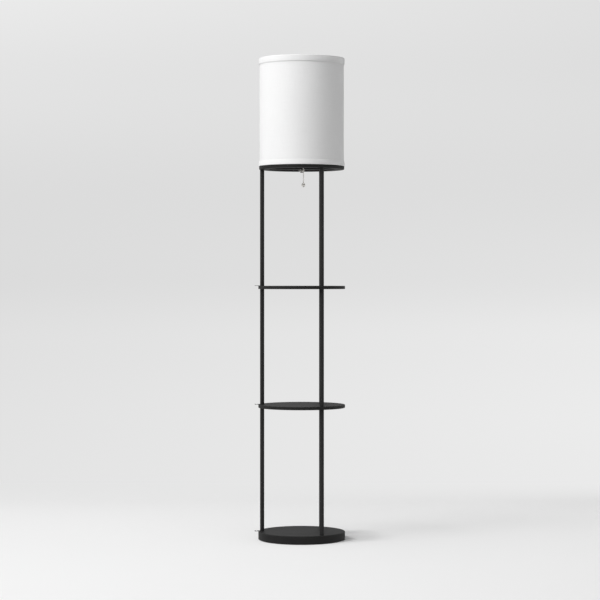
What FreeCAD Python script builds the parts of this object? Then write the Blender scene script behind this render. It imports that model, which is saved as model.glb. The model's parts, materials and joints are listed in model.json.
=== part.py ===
"""Round shelf floor lamp: a weighted base, two shelves and a fabric drum shade on three poles.

Frame: millimetres, +Z up, origin at the centre of the base's underside. The camera side is -Y and
the pole that carries the cord guides stands at -X.
"""
import FreeCAD
import Part
import Sketcher
import math
import os
import re

doc = FreeCAD.newDocument("shelf_floor_lamp")

# ---------------------------------------------------------------------------------------- sizes
SIZES = {
    # discs
    "disc_radius": "131",
    "base_height": "25.6",
    "base_edge_round": "2.5",
    "pad_inset": "4",
    "pad_thickness": "1.2",
    "soft_gap": "0.3",
    "shelf_thickness": "9.5",
    "shelf_edge_round": "1.6",
    "lower_shelf_top": "408",
    "upper_shelf_top": "766",
    # weight in the base
    "recess_inset": "43",
    "recess_depth": "13",
    "weight_gap": "1",
    "weight_thickness": "12",
    "weight_screw_inset": "27",
    "weight_screw_radius": "2.25",
    "weight_screw_bite": "6.5",
    "weight_screw_head_radius": "4.4",
    "weight_screw_head_height": "2.6",
    # poles and what clamps them
    "pole_inset": "11.6",
    "pole_radius": "6.35",
    "pole_wall": "1",
    "left_pole_angle": "180",
    "front_pole_angle": "-60",
    "back_pole_angle": "60",
    "pole_count": "3",
    "insert_length": "14",
    "stud_radius": "3",
    "stud_reach": "11",
    "stud_hole_radius": "3.3",
    "spacer_thickness": "1.2",
    "bolt_head_radius": "5",
    "bolt_head_height": "4",
    "bolt_drive_radius": "2.4",
    "bolt_drive_depth": "2.4",
    "bolt_washer_radius": "6.4",
    "bolt_washer_thickness": "1",
    "counterbore_radius": "7.2",
    "counterbore_depth": "9",
    # cord guides
    "guide_width": "12",
    "guide_reach": "22.6",
    "guide_corner_radius": "1",
    "guide_hole_radius": "3.2",
    "guide_hole_inset": "5.6",
    "guide_slot_width": "4",
    # top ring
    "ring_inset": "2.5",
    "ring_width": "27",
    "ring_thickness": "10",
    "ring_bottom": "1117",
    "ring_edge_round": "1.6",
    "bridge_width": "28",
    "ring_screw_head_radius": "5.6",
    "ring_screw_head_height": "3.2",
    # threaded nipple under the lamp holder
    "nipple_radius": "4.8",
    "nipple_bore": "3.2",
    "nipple_drop": "8",
    "nipple_rise": "8",
    "nipple_washer_radius": "10.5",
    "nipple_washer_thickness": "1",
    "nipple_nut_corner": "9.2",
    "nipple_nut_height": "5",
    "nipple_nut_side_count": "6",
    "bushing_flange_radius": "4.4",
    "bushing_flange": "1.4",
    "bushing_bore": "2.3",
    "bushing_length": "6",
    # lamp holder
    "cap_boss_radius": "8",
    "cap_boss_height": "5",
    "cap_cone_height": "13",
    "cap_height": "22",
    "cap_stand": "0.8",
    "cap_wall": "0.7",
    "shell_radius": "17",
    "shell_wall": "0.6",
    "shell_base": "14",
    "shell_height": "43",
    "shell_shoulder_stand": "2.6",
    "shell_shoulder_height": "20",
    "shell_shoulder_thickness": "1",
    "thread_pitch": "2.4",
    "thread_depth": "0.4",
    "liner_wall": "0.5",
    "liner_gap": "0.1",
    "holder_body_gap": "0.2",
    "holder_body_height": "20",
    "spool_radius": "5",
    "spool_thickness": "4",
    "spool_hub_radius": "3.6",
    "spool_groove_width": "2.4",
    "spool_inset": "7.6",
    "spool_lift": "5",
    "spool_slot_gap": "0.4",
    "axle_radius": "1",
    "axle_length": "11",
    "axle_clearance": "0.05",
    "screw_shell_inset": "1.7",
    "screw_shell_wall": "0.4",
    "screw_shell_height": "24",
    "screw_shell_pitch": "3.6",
    "contact_radius": "4",
    "contact_height": "1.5",
    # chain spout, ball chain and pendant
    "spout_height": "22",
    "spout_gap": "0.1",
    "spout_bend_radius": "3.6",
    "spout_drop": "3",
    "spout_outer_radius": "2.9",
    "spout_inner_radius": "2.1",
    "spout_lip_radius": "3.5",
    "spout_lip_height": "1",
    "chain_stand": "5",
    "chain_angle": "-76",
    "bead_radius": "1.6",
    "bead_pitch": "4.4",
    "chain_wire_radius": "0.6",
    "lead_bead_count": "2",
    "chain_bead_count": "14",
    "bead_gap": "0.3",
    "pendant_radius": "6",
    "pendant_neck_radius": "2",
    "pendant_neck_height": "2.4",
    "pendant_tip_radius": "1.6",
    "pendant_tip_height": "2",
    # shade
    "shade_inset": "3.5",
    "shade_height": "321",
    "fabric_thickness": "0.5",
    "shade_liner_thickness": "0.4",
    "hem_stand": "2.4",
    "hem_height": "15",
    "hem_thickness": "1",
    "hem_turn": "3.9",
    "frame_wire_radius": "1.5",
    "wire_gap": "0.1",
    "fitter_rim": "2.5",
    "arm_weld": "1",
    "fitter_thickness": "1.5",
    "ring_nut_wall": "5",
    "ring_nut_height": "6",
    "arm_count": "3",
    "first_arm_angle": "90",
    # lamp
    "bulb_cap_gap": "0.4",
    "bulb_cap_height": "22",
    "bulb_cap_wall": "0.5",
    "bulb_thread_depth": "0.6",
    "bulb_tip_radius": "4.6",
    "bulb_tip_height": "3",
    "bulb_collar_radius": "14.5",
    "bulb_collar_height": "4",
    "bulb_body_radius": "28",
    "bulb_body_height": "36",
    "bulb_globe_radius": "30",
    "bulb_globe_centre": "52",
    "bulb_lip": "1",
    # whole turns and the small allowances of the pattern and slot tools
    "full_turn": "360",
    "quarter_turn": "90",
    "slot_overrun": "6",
    "ring_overlap": "6",
}

sheet = doc.addObject("Spreadsheet::Sheet", "sizes")
for row, (alias, value) in enumerate(SIZES.items(), start=1):
    sheet.set(f"A{row}", alias)
    sheet.set(f"B{row}", value)
    sheet.setAlias(f"B{row}", alias)
doc.recompute()

# Sizes that follow from others.
FOLLOWS = {
    "pad_radius": "(disc_radius - pad_inset)",
    "recess_radius": "(disc_radius - recess_inset)",
    "weight_radius": "(recess_radius - weight_gap)",
    "weight_screw_circle": "(weight_radius - weight_screw_inset)",
    "pole_circle_radius": "(disc_radius - pole_inset)",
    "ring_radius": "(disc_radius - ring_inset)",
    "shade_radius": "(disc_radius - shade_inset)",
    "hem_radius": "(shade_radius + hem_stand)",
    "hem_lip_radius": "(shade_radius - hem_turn)",
    "fitter_radius": "(ring_nut_radius + fitter_rim)",
    "ring_nut_radius": "(shell_radius + ring_nut_wall)",
    "cap_radius": "(shell_radius + cap_stand)",
    "shell_shoulder_radius": "(shell_radius + shell_shoulder_stand)",
    "holder_body_radius": "(shell_radius - shell_wall - liner_gap - liner_wall - holder_body_gap)",
    "spool_offset": "(holder_body_radius - spool_inset)",
    "screw_shell_radius": "(holder_body_radius - screw_shell_inset)",
    "spout_start": "(holder_body_radius + spout_gap)",
    "chain_circle_radius": "(shell_radius + chain_stand)",
    "bulb_cap_radius": "(screw_shell_radius - screw_shell_wall - bulb_cap_gap)",
}

WORD = re.compile(r"[a-z_]+")
BASE_BOARD = "(base_height - pad_thickness - soft_gap)"
BOARD_UNDER = "(pad_thickness + soft_gap)"
RING_TOP = "(ring_bottom + ring_thickness)"
RING_BORE = "(ring_radius - ring_width)"
SHADE_BOTTOM = "(ring_bottom + ring_thickness + soft_gap)"
POLE_BORE = "(pole_radius - pole_wall)"
LINER_OUTSIDE = "(shade_radius - fabric_thickness - soft_gap)"
FRAME_CIRCLE = f"({LINER_OUTSIDE} - shade_liner_thickness - wire_gap - frame_wire_radius)"
LOWER_WIRE_HEIGHT = f"({SHADE_BOTTOM} + hem_thickness + soft_gap + frame_wire_radius)"
SHELL_INSIDE = "(shell_radius - shell_wall)"
HOLDER_BASE = f"({RING_TOP} + shell_base)"
HOLDER_TOP = f"({RING_TOP} + shell_base + holder_body_height)"
SPOUT_LEVEL = f"({RING_TOP} + spout_height)"
POLES = {
    "left": "left_pole_angle",
    "front": "front_pole_angle",
    "back": "back_pole_angle",
}
ZERO = "0"


# -------------------------------------------------------------------------------------- helpers
def sheet_name(match):
    """Return how an expression reads one word of a formula."""
    word = match.group()
    if word in FOLLOWS:
        return bound(FOLLOWS[word])
    return "sizes." + word if word in SIZES else word


def bound(text):
    """Turn a formula of size names into an expression that reads the sheet."""
    return WORD.sub(sheet_name, text)


def value(text):
    """Return the present value of a formula of size names."""
    return float(sheet.evalExpression(bound(text)))


def bind(item, **formulas):
    """Tie properties of an object to formulas of size names."""
    for prop, formula in formulas.items():
        item.setExpression(prop, bound(formula))


def place(item, x=ZERO, y=ZERO, z=ZERO, turn=None, about=(0, 0, 1)):
    """Set an object's placement and tie it to the sheet."""
    item.Placement = FreeCAD.Placement(
        FreeCAD.Vector(value(x), value(y), value(z)),
        FreeCAD.Rotation(FreeCAD.Vector(*about), value(turn) if turn else float()),
    )
    for axis, formula in zip("xyz", (x, y, z)):
        if formula != ZERO:
            item.setExpression("Placement.Base." + axis, bound(formula))
    if turn:
        item.setExpression("Placement.Rotation.Angle", bound(turn))


def sub_part(name, **where):
    """Start a sub-part that is built as a feature body."""
    body = doc.addObject("PartDesign::Body", name)
    body.Label = name
    body.AllowCompound = True
    place(body, **where)
    return body


def origin_item(body, role):
    """Find a plane or axis of a body's own origin."""
    return [item for item in body.Origin.OriginFeatures if item.Role == role][0]


def sketch_on(body, plane, name, lift=None):
    """Start a sketch on one of the body's origin planes, lifted along the plane's normal."""
    sketch = body.newObject("Sketcher::SketchObject", name)
    sketch.AttachmentSupport = [(origin_item(body, plane), "")]
    sketch.MapMode = "FlatFace"
    if lift:
        sketch.setExpression("AttachmentOffset.Base.z", bound(lift))
    return sketch


def pin_along(sketch, geometry, end, kind, axis, formula):
    """Fix one coordinate of one end of a sketch element."""
    if abs(value(formula)) < SMALL:
        sketch.addConstraint(Sketcher.Constraint("PointOnObject", geometry, end, axis))
        return
    number = sketch.addConstraint(
        Sketcher.Constraint(kind, -1, 1, geometry, end, value(formula))
    )
    label = f"{kind}_{geometry}_{end}"
    sketch.renameConstraint(number, label)
    sketch.setExpression("Constraints." + label, bound(formula))


def pin_height(sketch, geometry, end, y):
    """Fix the height of one end of a sketch element."""
    pin_along(sketch, geometry, end, "DistanceY", -1, y)


def pin_point(sketch, geometry, end, x, y):
    """Fix one end of a sketch element with two named dimensions."""
    pin_along(sketch, geometry, end, "DistanceX", -2, x)
    pin_height(sketch, geometry, end, y)


def draw_loop(sketch, outline):
    """Draw a closed run of straight lines through named points."""
    points = [FreeCAD.Vector(value(x), value(y), float()) for x, y in outline]
    first = sketch.GeometryCount
    count = len(points)
    for step in range(count):
        after = points[(step + 1) % count]
        sketch.addGeometry(Part.LineSegment(points[step], after), False)
    for step in range(count):
        following = first + (step + 1) % count
        sketch.addConstraint(Sketcher.Constraint("Coincident", first + step, 2, following, 1))
    for step, (x, y) in enumerate(outline):
        pin_point(sketch, first + step, 1, x, y)


def draw_circle(sketch, x, y, radius):
    """Draw a circle with a named centre and radius."""
    centre = FreeCAD.Vector(value(x), value(y), float())
    number = sketch.addGeometry(
        Part.Circle(centre, FreeCAD.Vector(0, 0, 1), value(radius)), False
    )
    label = f"Radius_{number}"
    constraint = sketch.addConstraint(Sketcher.Constraint("Radius", number, value(radius)))
    sketch.renameConstraint(constraint, label)
    sketch.setExpression("Constraints." + label, bound(radius))
    pin_point(sketch, number, 3, x, y)


def revolve(body, name, outlines, axis_x=None):
    """Turn closed outlines of (radius, height) about the body's axis or a parallel line."""
    sketch = sketch_on(body, "XZ_Plane", name + "_profile")
    for outline in outlines:
        draw_loop(sketch, outline)
    turned = body.newObject("PartDesign::Revolution", name)
    turned.Profile = sketch
    if axis_x:
        top = max((y for outline in outlines for _, y in outline), key=value)
        line = sketch.addGeometry(
            Part.LineSegment(
                FreeCAD.Vector(value(axis_x), float(), float()),
                FreeCAD.Vector(value(axis_x), value(top), float()),
            ),
            True,
        )
        pin_point(sketch, line, 1, axis_x, ZERO)
        pin_point(sketch, line, 2, axis_x, top)
        turned.ReferenceAxis = (sketch, ["Axis0"])
    else:
        turned.ReferenceAxis = (sketch, ["V_Axis"])
    bind(turned, Angle="full_turn")
    return turned


def pad(body, name, draw, length, lift=None, plane="XY_Plane"):
    """Raise a drawn profile along the plane's normal."""
    sketch = sketch_on(body, plane, name + "_profile", lift)
    draw(sketch)
    raised = body.newObject("PartDesign::Pad", name)
    raised.Profile = sketch
    bind(raised, Length=length)
    return raised


def pocket(body, name, draw, length, lift=None, plane="XY_Plane", reverse=True):
    """Cut a drawn profile; reversed, the cut runs along the plane's normal."""
    sketch = sketch_on(body, plane, name + "_profile", lift)
    draw(sketch)
    cut = body.newObject("PartDesign::Pocket", name)
    cut.Profile = sketch
    cut.Reversed = reverse
    bind(cut, Length=length)
    return cut


def around(body, name, features, count="pole_count"):
    """Repeat features about the body's vertical axis and make the pattern the tip."""
    pattern = body.newObject("PartDesign::PolarPattern", name)
    pattern.Originals = features
    pattern.Axis = (origin_item(body, "Z_Axis"), [""])
    bind(pattern, Angle="full_turn", Occurrences=count)
    body.Tip = pattern
    return pattern


def rim_edges(feature, rims):
    """List the circular edges of a feature at the named (radius, height) pairs."""
    wanted = [(value(radius), value(height)) for radius, height in rims]
    found = []
    for number, edge in enumerate(feature.Shape.Edges, start=1):
        curve = edge.Curve
        if not hasattr(curve, "Radius"):
            continue
        for radius, height in wanted:
            near = abs(curve.Radius - radius) < SMALL and abs(curve.Center.z - height) < SMALL
            centred = math.hypot(curve.Center.x, curve.Center.y) < SMALL
            if near and centred:
                found.append(f"Edge{number}")
    return found


def soften(body, name, rims, radius):
    """Round the circular rims of the body's tip."""
    doc.recompute()
    before = body.Tip
    edges = rim_edges(before, rims)
    rounded = body.newObject("PartDesign::Fillet", name)
    rounded.Base = (before, edges)
    bind(rounded, Radius=radius)
    return rounded


def box(name, size, corner, turn=None):
    """Make a bound block."""
    item = doc.addObject("Part::Box", name)
    bind(item, Length=size[0], Width=size[1], Height=size[2])
    place(item, *corner, turn=turn)
    return item


def rod(name, radius, height, foot=(ZERO, ZERO, ZERO), turn=None, about=(0, 0, 1)):
    """Make a bound cylinder."""
    item = doc.addObject("Part::Cylinder", name)
    bind(item, Radius=radius, Height=height)
    place(item, *foot, turn=turn, about=about)
    return item


def fuse(name, items):
    """Join shapes into one solid."""
    item = doc.addObject("Part::MultiFuse", name)
    item.Label = name
    item.Shapes = items
    item.Refine = True
    return item


def cut(name, base, tool):
    """Take one shape out of another."""
    item = doc.addObject("Part::Cut", name)
    item.Label = name
    item.Base = base
    item.Tool = tool
    item.Refine = True
    return item


SMALL = 1e-6
parts = {}


# ------------------------------------------------------------------------------ base and shelves
def pole_circle(radius):
    """Return a drawing of one circle at the first pole."""
    return lambda sketch: draw_circle(sketch, "-pole_circle_radius", ZERO, radius)


def make_base():
    """Board with a recess for the weight, counterbored bolt holes and pilot holes."""
    body = sub_part("base_board", z=BOARD_UNDER)
    revolve(body, "base_blank", [[
        (ZERO, "recess_depth"),
        ("recess_radius", "recess_depth"),
        ("recess_radius", ZERO),
        ("disc_radius", ZERO),
        ("disc_radius", BASE_BOARD),
        (ZERO, BASE_BOARD),
    ]])
    soften(body, "base_rims", [("disc_radius", BASE_BOARD), ("disc_radius", ZERO)],
           "base_edge_round")
    doc.recompute()
    sketch = sketch_on(body, "XY_Plane", "bolt_hole_profile")
    pole_circle("stud_hole_radius")(sketch)
    hole = body.newObject("PartDesign::Hole", "bolt_hole")
    hole.Profile = sketch
    hole.DepthType = "ThroughAll"
    hole.Reversed = True
    hole.HoleCutType = "Counterbore"
    hole.HoleCutCustomValues = True
    bind(hole, Diameter="2 * stud_hole_radius", HoleCutDiameter="2 * counterbore_radius",
         HoleCutDepth="counterbore_depth")
    doc.recompute()
    around(body, "bolt_holes", [hole])
    pilot = pocket(
        body, "pilot_hole",
        lambda sketch: draw_circle(sketch, "-weight_screw_circle", ZERO, "weight_screw_radius"),
        "recess_depth + weight_screw_bite",
    )
    around(body, "pilot_holes", [pilot])
    parts["base_board"] = body

    under = f"({BOARD_UNDER} + recess_depth - weight_thickness)"
    weight = sub_part("base_weight", z=under)
    pad(weight, "weight_blank",
        lambda sketch: draw_circle(sketch, ZERO, ZERO, "weight_radius"), "weight_thickness")
    seat = revolve_cut(weight, "screw_seat", [
        ("-weight_screw_circle", ZERO),
        ("-weight_screw_circle + weight_screw_head_radius", ZERO),
        ("-weight_screw_circle + weight_screw_radius", "weight_screw_head_height"),
        ("-weight_screw_circle + weight_screw_radius", "weight_thickness"),
        ("-weight_screw_circle", "weight_thickness"),
    ], "-weight_screw_circle")
    around(weight, "screw_seats", [seat])
    parts["base_weight"] = weight

    screws = sub_part("weight_screws", z=under)
    screw = revolve(screws, "weight_screw", [[
        ("-weight_screw_circle", ZERO),
        ("-weight_screw_circle + weight_screw_head_radius", ZERO),
        ("-weight_screw_circle + weight_screw_radius", "weight_screw_head_height"),
        ("-weight_screw_circle + weight_screw_radius", "weight_thickness + weight_screw_bite"),
        ("-weight_screw_circle", "weight_thickness + weight_screw_bite"),
    ]], axis_x="-weight_screw_circle")
    around(screws, "weight_screw_set", [screw])
    parts["weight_screws"] = screws

    felt = sub_part("base_pad")
    pad(felt, "pad_blank", lambda sketch: draw_circle(sketch, ZERO, ZERO, "pad_radius"),
        "pad_thickness")
    parts["base_pad"] = felt


def revolve_cut(body, name, outline, axis_x):
    """Cut a turned outline about a line parallel to the body's axis."""
    sketch = sketch_on(body, "XZ_Plane", name + "_profile")
    draw_loop(sketch, outline)
    top = max((y for _, y in outline), key=value)
    line = sketch.addGeometry(
        Part.LineSegment(
            FreeCAD.Vector(value(axis_x), float(), float()),
            FreeCAD.Vector(value(axis_x), value(top), float()),
        ),
        True,
    )
    pin_point(sketch, line, 1, axis_x, ZERO)
    pin_point(sketch, line, 2, axis_x, top)
    groove = body.newObject("PartDesign::Groove", name)
    groove.Profile = sketch
    groove.ReferenceAxis = (sketch, ["Axis0"])
    bind(groove, Angle="full_turn")
    return groove


def make_shelf(name, top):
    """Round shelf with softened rims and three stud holes."""
    body = sub_part(name, z=f"{top} - shelf_thickness")
    pad(body, name + "_blank", lambda sketch: draw_circle(sketch, ZERO, ZERO, "disc_radius"),
        "shelf_thickness")
    soften(body, name + "_rims", [("disc_radius", ZERO), ("disc_radius", "shelf_thickness")],
           "shelf_edge_round")
    hole = pocket(body, name + "_hole", pole_circle("stud_hole_radius"), "shelf_thickness")
    around(body, name + "_holes", [hole])
    parts[name] = body


# ------------------------------------------------------------------- poles and their fasteners
# Each run of poles goes from one disc to the next: (foot, head), the foot standing on a spacer.
RUNS = {
    "lower": ("base_height + spacer_thickness", "lower_shelf_top - shelf_thickness"),
    "middle": ("lower_shelf_top + spacer_thickness", "upper_shelf_top - shelf_thickness"),
    "upper": ("upper_shelf_top + spacer_thickness", "ring_bottom"),
}
DISC_TOPS = {"base": "base_height", "lower": "lower_shelf_top", "upper": "upper_shelf_top"}


def make_poles():
    """Nine tubes, the threaded plugs in their ends and what holds them to the discs."""
    for run, (foot, head) in RUNS.items():
        for side, angle in POLES.items():
            name = f"{run}_pole_{side}"
            body = sub_part(
                name,
                x=f"pole_circle_radius * cos({angle})",
                y=f"pole_circle_radius * sin({angle})",
                z=foot,
            )
            length = f"{head} - ({foot})"
            revolve(body, name + "_tube", [[
                (POLE_BORE, ZERO),
                ("pole_radius", ZERO),
                ("pole_radius", length),
                (POLE_BORE, length),
            ]])
            parts[name] = body

    plugs = sub_part("pole_inserts")
    loops = []
    for foot, head in RUNS.values():
        for low in (foot, f"{head} - insert_length"):
            loops.append([
                ("-pole_circle_radius + stud_radius", low),
                (f"-pole_circle_radius + {POLE_BORE}", low),
                (f"-pole_circle_radius + {POLE_BORE}", f"{low} + insert_length"),
                ("-pole_circle_radius + stud_radius", f"{low} + insert_length"),
            ])
    plug = revolve(plugs, "insert_column", loops, axis_x="-pole_circle_radius")
    around(plugs, "insert_columns", [plug])
    parts["pole_inserts"] = plugs

    studs = sub_part("shelf_studs")
    loops = []
    for top in ("lower_shelf_top", "upper_shelf_top"):
        low = f"{top} - shelf_thickness - stud_reach"
        high = f"{top} + spacer_thickness + stud_reach"
        loops.append([
            ("-pole_circle_radius", low),
            ("-pole_circle_radius + stud_radius", low),
            ("-pole_circle_radius + stud_radius", high),
            ("-pole_circle_radius", high),
        ])
    stud = revolve(studs, "stud_pair", loops, axis_x="-pole_circle_radius")
    around(studs, "stud_pairs", [stud])
    parts["shelf_studs"] = studs

    seat = f"({BOARD_UNDER} + counterbore_depth)"
    bolts = sub_part("base_bolts")
    head_top = f"({seat} - bolt_washer_thickness)"
    head_low = f"({head_top} - bolt_head_height)"
    bolt = revolve(bolts, "base_bolt", [[
        ("-pole_circle_radius", f"{head_low} + bolt_drive_depth"),
        ("-pole_circle_radius + bolt_drive_radius", f"{head_low} + bolt_drive_depth"),
        ("-pole_circle_radius + bolt_drive_radius", head_low),
        ("-pole_circle_radius + bolt_head_radius", head_low),
        ("-pole_circle_radius + bolt_head_radius", head_top),
        ("-pole_circle_radius + stud_radius", head_top),
        ("-pole_circle_radius + stud_radius", "base_height + spacer_thickness + stud_reach"),
        ("-pole_circle_radius", "base_height + spacer_thickness + stud_reach"),
    ]], axis_x="-pole_circle_radius")
    around(bolts, "base_bolt_set", [bolt])
    parts["base_bolts"] = bolts

    washers = sub_part("bolt_washers")
    washer = revolve(washers, "bolt_washer", [[
        ("-pole_circle_radius + stud_radius", head_top),
        ("-pole_circle_radius + bolt_washer_radius", head_top),
        ("-pole_circle_radius + bolt_washer_radius", seat),
        ("-pole_circle_radius + stud_radius", seat),
    ]], axis_x="-pole_circle_radius")
    around(washers, "bolt_washer_set", [washer])
    parts["bolt_washers"] = washers


def make_spacers():
    """Thin washers under the two poles that have no cord guide, one pair on every disc."""
    rings = []
    for disc, top in DISC_TOPS.items():
        for side in ("front", "back"):
            where = (
                f"pole_circle_radius * cos({POLES[side]})",
                f"pole_circle_radius * sin({POLES[side]})",
                top,
            )
            name = f"{disc}_{side}_spacer"
            disc_item = rod(name + "_disc", "pole_radius", "spacer_thickness", where)
            bore = rod(name + "_bore", "stud_radius", "spacer_thickness", where)
            rings.append(cut(name, disc_item, bore))
    group = doc.addObject("Part::Compound", "pole_spacers")
    group.Label = "pole_spacers"
    group.Links = rings
    parts["pole_spacers"] = group


def make_guides():
    """Flat cord guides: a washer under the left pole, a plate and in it an eye slotted behind."""
    tip = "-pole_circle_radius - guide_reach"
    eye_x = f"{tip} + guide_hole_inset"
    half = "guide_width / 2"
    for disc, top in DISC_TOPS.items():
        name = f"{disc}_cord_guide"
        foot = ("-pole_circle_radius", ZERO, top)
        plate = fuse(name + "_plate", [
            rod(name + "_washer", "pole_radius", "spacer_thickness", foot),
            box(name + "_strip",
                ("guide_reach - guide_corner_radius", "guide_width", "spacer_thickness"),
                (f"{tip} + guide_corner_radius", f"-{half}", top)),
            box(name + "_end",
                ("guide_reach", "guide_width - 2 * guide_corner_radius", "spacer_thickness"),
                (tip, f"-{half} + guide_corner_radius", top)),
            rod(name + "_front_corner", "guide_corner_radius", "spacer_thickness",
                (f"{tip} + guide_corner_radius", f"-{half} + guide_corner_radius", top)),
            rod(name + "_back_corner", "guide_corner_radius", "spacer_thickness",
                (f"{tip} + guide_corner_radius", f"{half} - guide_corner_radius", top)),
        ])
        holes = fuse(name + "_holes", [
            rod(name + "_bore", "stud_radius", "spacer_thickness", foot),
            rod(name + "_cord_hole", "guide_hole_radius", "spacer_thickness",
                (eye_x, ZERO, top)),
            box(name + "_slot",
                ("guide_slot_width", "guide_width / 2 + slot_overrun", "spacer_thickness"),
                (f"{eye_x} - guide_slot_width / 2", ZERO, top)),
        ])
        parts[name] = cut(name, plate, holes)


# -------------------------------------------------------------------------------------- top ring
def make_top_ring():
    """Ring with a bridge across it, countersunk for the pole screws and bored for the nipple."""
    body = sub_part("top_ring", z="ring_bottom")

    def annulus(sketch):
        draw_circle(sketch, ZERO, ZERO, "ring_radius")
        draw_circle(sketch, ZERO, ZERO, RING_BORE)

    pad(body, "ring_blank", annulus, "ring_thickness")
    soften(body, "ring_rims",
           [("ring_radius", ZERO), ("ring_radius", "ring_thickness")], "ring_edge_round")
    half = f"({RING_BORE} + ring_overlap)"
    pad(body, "bridge", lambda sketch: draw_loop(sketch, [
        (f"-{half}", "-bridge_width / 2"),
        (half, "-bridge_width / 2"),
        (half, "bridge_width / 2"),
        (f"-{half}", "bridge_width / 2"),
    ]), "ring_thickness")
    pocket(body, "nipple_hole",
           lambda sketch: draw_circle(sketch, ZERO, ZERO, "nipple_radius"), "ring_thickness")
    seat = revolve_cut(body, "pole_screw_seat", [
        ("-pole_circle_radius", ZERO),
        ("-pole_circle_radius + stud_radius", ZERO),
        ("-pole_circle_radius + stud_radius", "ring_thickness - ring_screw_head_height"),
        ("-pole_circle_radius + ring_screw_head_radius", "ring_thickness"),
        ("-pole_circle_radius", "ring_thickness"),
    ], "-pole_circle_radius")
    around(body, "pole_screw_seats", [seat])
    parts["top_ring"] = body

    screws = sub_part("ring_screws", z="ring_bottom")
    drive = "ring_screw_head_height / 2"
    screw = revolve(screws, "ring_screw", [[
        ("-pole_circle_radius", "-stud_reach"),
        ("-pole_circle_radius + stud_radius", "-stud_reach"),
        ("-pole_circle_radius + stud_radius", "ring_thickness - ring_screw_head_height"),
        ("-pole_circle_radius + ring_screw_head_radius", "ring_thickness"),
        ("-pole_circle_radius + bolt_drive_radius", "ring_thickness"),
        ("-pole_circle_radius + bolt_drive_radius", f"ring_thickness - {drive}"),
        ("-pole_circle_radius", f"ring_thickness - {drive}"),
    ]], axis_x="-pole_circle_radius")
    around(screws, "ring_screw_set", [screw])
    parts["ring_screws"] = screws


# ------------------------------------------------------------------------- nipple and lamp holder
def make_nipple():
    """Hollow threaded nipple with its washer, nut and cord bushing under the bridge."""
    body = sub_part("nipple", z="ring_bottom - nipple_drop")
    length = "nipple_drop + ring_thickness + nipple_rise"
    revolve(body, "nipple_tube", [[
        ("nipple_bore", ZERO),
        ("nipple_radius", ZERO),
        ("nipple_radius", length),
        ("nipple_bore", length),
    ]])
    parts["nipple"] = body

    washer = sub_part("nipple_washer", z="ring_bottom - nipple_washer_thickness")
    revolve(washer, "nipple_washer_ring", [[
        ("nipple_radius", ZERO),
        ("nipple_washer_radius", ZERO),
        ("nipple_washer_radius", "nipple_washer_thickness"),
        ("nipple_radius", "nipple_washer_thickness"),
    ]])
    parts["nipple_washer"] = washer

    level = "ring_bottom - nipple_washer_thickness - nipple_nut_height"
    hexagon = doc.addObject("Part::Prism", "nut_hexagon")
    hexagon.Polygon = int(value("nipple_nut_side_count"))
    bind(hexagon, Circumradius="nipple_nut_corner", Height="nipple_nut_height")
    place(hexagon, z=level)
    chamfer = doc.addObject("Part::Cone", "nut_chamfer")
    bind(chamfer, Radius1="nipple_nut_corner * cos(quarter_turn / pole_count)",
         Radius2="nipple_nut_corner + nipple_nut_height", Height="nipple_nut_height")
    place(chamfer, z=level)
    blank = doc.addObject("Part::MultiCommon", "nut_blank")
    blank.Shapes = [hexagon, chamfer]
    bore = rod("nut_bore", "nipple_radius", "nipple_nut_height", (ZERO, ZERO, level))
    parts["nipple_nut"] = cut("nipple_nut", blank, bore)

    bushing = sub_part("cord_bushing", z="ring_bottom - nipple_drop - bushing_flange")
    revolve(bushing, "bushing_body", [[
        ("bushing_bore", ZERO),
        ("bushing_flange_radius", ZERO),
        ("bushing_flange_radius", "bushing_flange"),
        ("nipple_bore", "bushing_flange"),
        ("nipple_bore", "bushing_flange + bushing_length"),
        ("bushing_bore", "bushing_flange + bushing_length"),
    ]])
    parts["cord_bushing"] = bushing


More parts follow.
